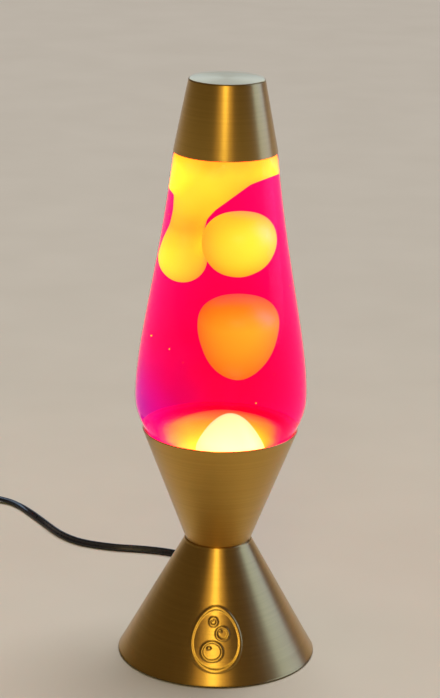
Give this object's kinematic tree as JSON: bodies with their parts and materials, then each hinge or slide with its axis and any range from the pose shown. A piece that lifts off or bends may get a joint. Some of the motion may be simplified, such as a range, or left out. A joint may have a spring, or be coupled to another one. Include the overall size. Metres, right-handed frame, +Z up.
{
  "type": "lava lamp",
  "caption": "Table lava lamp: a waisted spun metal base, lift-off glass globe of liquid and floating wax, lift-off metal cap, screw-in bulb and corded switch and plug.",
  "frame": {"origin": "on the lamp's axis, in the plane of its feet", "axes": "+Z up along the lamp's axis, -Y the front, the cord leaves at the back (+Y) and runs to -X"},
  "size_m": [0.3509, 0.3716, 0.414],
  "materials": {
    "spun_gold": "spun and brushed gold anodised aluminium",
    "crown_steel": "lacquered tinplate",
    "liner": "soft polyethylene liner",
    "zinc_steel": "zinc plated",
    "brass": "turned brass",
    "plated_brass": "nickel plated brass",
    "phenolic": "moulded phenolic",
    "cover_board": "matte black moulded cover",
    "rubber": "matte",
    "cord_vinyl": "satin black vinyl",
    "plug_vinyl": "satin black vinyl",
    "switch_plastic": "satin black",
    "switch_wheel_plastic": "satin dark grey",
    "tie_plastic": "matte",
    "clear_glass": "clear, glossy",
    "lamp_liquid": "clear magenta-red liquid, lit from below",
    "wax_glowing": "translucent molten wax over the bulb",
    "wax_yellow": "translucent yellow wax",
    "wax_orange": "translucent orange wax",
    "coil_steel": "coiled spring wire",
    "bulb_glass": "frosted",
    "bulb_metal": "formed sheet",
    "bulb_insulator": "black glass",
    "filament": "coiled tungsten"
  },
  "bodies": {
    "base": {"lower_cone": "spun_gold", "upper_cone": "spun_gold", "waist_screws": "zinc_steel", "waist_nuts": "zinc_steel", "socket_bracket": "zinc_steel", "socket_nipple": "brass", "socket_locknut": "brass", "socket_body": "phenolic", "socket_shell": "brass", "socket_contact": "brass", "terminal_screws": "brass", "bottom_cover": "cover_board", "cover_screws": "zinc_steel", "rubber_feet": "rubber", "inner_cord": "cord_vinyl", "strain_relief": "cord_vinyl", "cord_lead": "cord_vinyl", "switch_base": "switch_plastic", "switch_top": "switch_plastic", "switch_screws": "zinc_steel", "cord_tail": "cord_vinyl", "cord_coil": "cord_vinyl", "cord_tie": "tie_plastic", "cord_end": "cord_vinyl", "plug_body": "plug_vinyl", "plug_blades": "plated_brass"},
    "switch_wheel": {"switch_wheel": "switch_wheel_plastic"},
    "globe": {"glass_globe": "clear_glass", "liquid": "lamp_liquid", "wax_pool": "wax_glowing", "wire_coil": "coil_steel", "wax_top": "wax_yellow", "crown_cap": "crown_steel", "crown_liner": "liner"},
    "upper_blob": {"wax_blob_upper": "wax_yellow"},
    "middle_blob": {"wax_blob_middle": "wax_orange"},
    "cap": {"top_cap": "spun_gold"},
    "bulb_rise": {"bulb_contact": "bulb_metal"},
    "bulb": {"bulb_envelope": "bulb_glass", "bulb_shell": "bulb_metal", "bulb_insulator": "bulb_insulator", "bulb_stem": "bulb_glass", "bulb_filament": "filament"}
  },
  "joints": [
    {"name": "globe_lift", "type": "slide", "parent": "base", "child": "globe", "axis": [0, 0, 1], "range_m": [0, 0.06]},
    {"name": "cap_lift", "type": "slide", "parent": "globe", "child": "cap", "axis": [0, 0, 1], "range_m": [0, 0.05]},
    {"name": "upper_blob_drift", "type": "slide", "parent": "globe", "child": "upper_blob", "axis": [0, 0, 1], "range_m": [-0.005, 0.004], "deforming": ["liquid"]},
    {"name": "middle_blob_drift", "type": "slide", "parent": "globe", "child": "middle_blob", "axis": [0, 0, 1], "range_m": [-0.018, 0.004], "deforming": ["liquid"]},
    {"name": "bulb_lift", "type": "slide", "parent": "base", "child": "bulb_rise", "axis": [0, 0, 1], "range_m": [0, 0.0109]},
    {"name": "bulb_turn", "type": "hinge", "parent": "bulb_rise", "child": "bulb", "pos_m": [0, 0, 0.05], "axis": [0, 0, 1], "range_deg": [0, 1080]},
    {"name": "switch_wheel_turn", "type": "hinge", "parent": "base", "child": "switch_wheel", "pos_m": [-0.223, 0.29, 0.0094], "axis": [0, 0, 1], "continuous": true}
  ],
  "couplings": [
    {"joint": "bulb_lift", "follows": "bulb_turn", "m_per_rad": 0.0005775}
  ]
}
